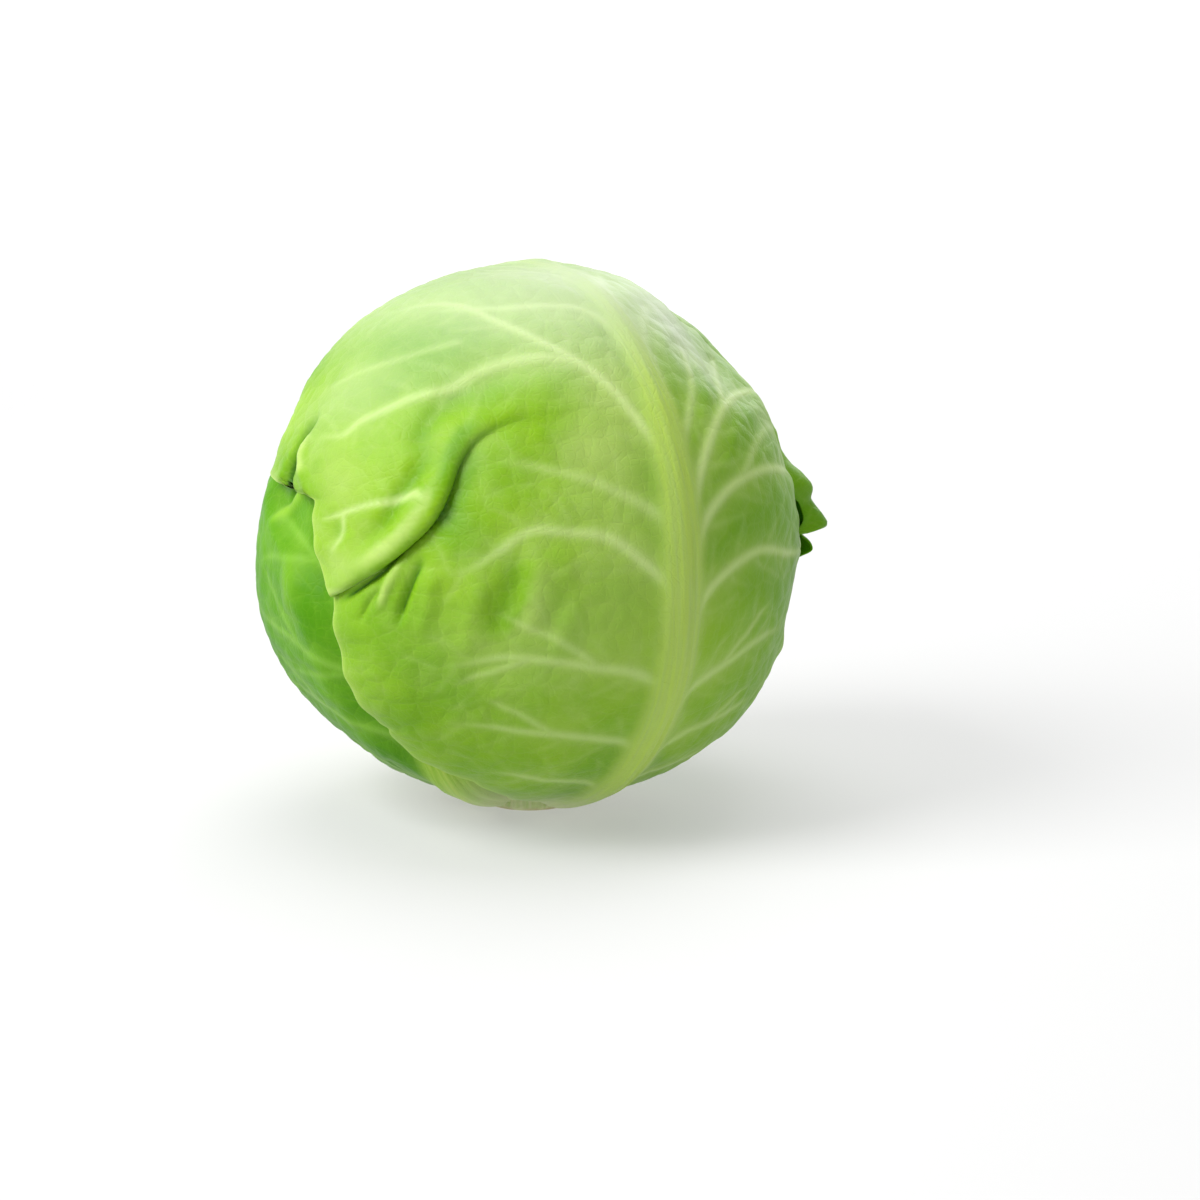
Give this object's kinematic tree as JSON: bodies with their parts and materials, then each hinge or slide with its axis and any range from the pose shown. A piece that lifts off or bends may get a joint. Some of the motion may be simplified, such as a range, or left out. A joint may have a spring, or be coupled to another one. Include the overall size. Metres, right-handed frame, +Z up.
{
  "type": "cabbage head",
  "caption": "Round head of cabbage: broad veined leaves wrapped over a tight heart, standing on its flat cut stem.",
  "frame": {"origin": "centre of the stem's flat cut face, on the surface that the head stands on", "axes": "+Z up, from the stem to the top of the head; the front, where the outermost leaf faces, is towards -Y"},
  "size_m": [0.1836, 0.1833, 0.1856],
  "materials": {
    "outer_leaf": "waxy satin leaf, mid green with pale veins",
    "middle_leaf": "waxy satin leaf, light green with pale veins",
    "inner_leaf": "satin leaf, pale green",
    "heart": "satin leaf, pale yellow-green",
    "cut_stem": "moist matt cut flesh, cream"
  },
  "bodies": {
    "root": {"outer_leaf_front": "outer_leaf", "outer_leaf_back": "outer_leaf", "outer_leaf_left": "outer_leaf", "middle_leaf_right": "middle_leaf", "middle_leaf_back": "middle_leaf", "middle_leaf_front": "middle_leaf", "inner_leaf_back": "inner_leaf", "inner_leaf_left": "inner_leaf", "inner_leaf_right": "inner_leaf", "heart": "heart", "stem": "cut_stem"}
  },
  "joints": []
}
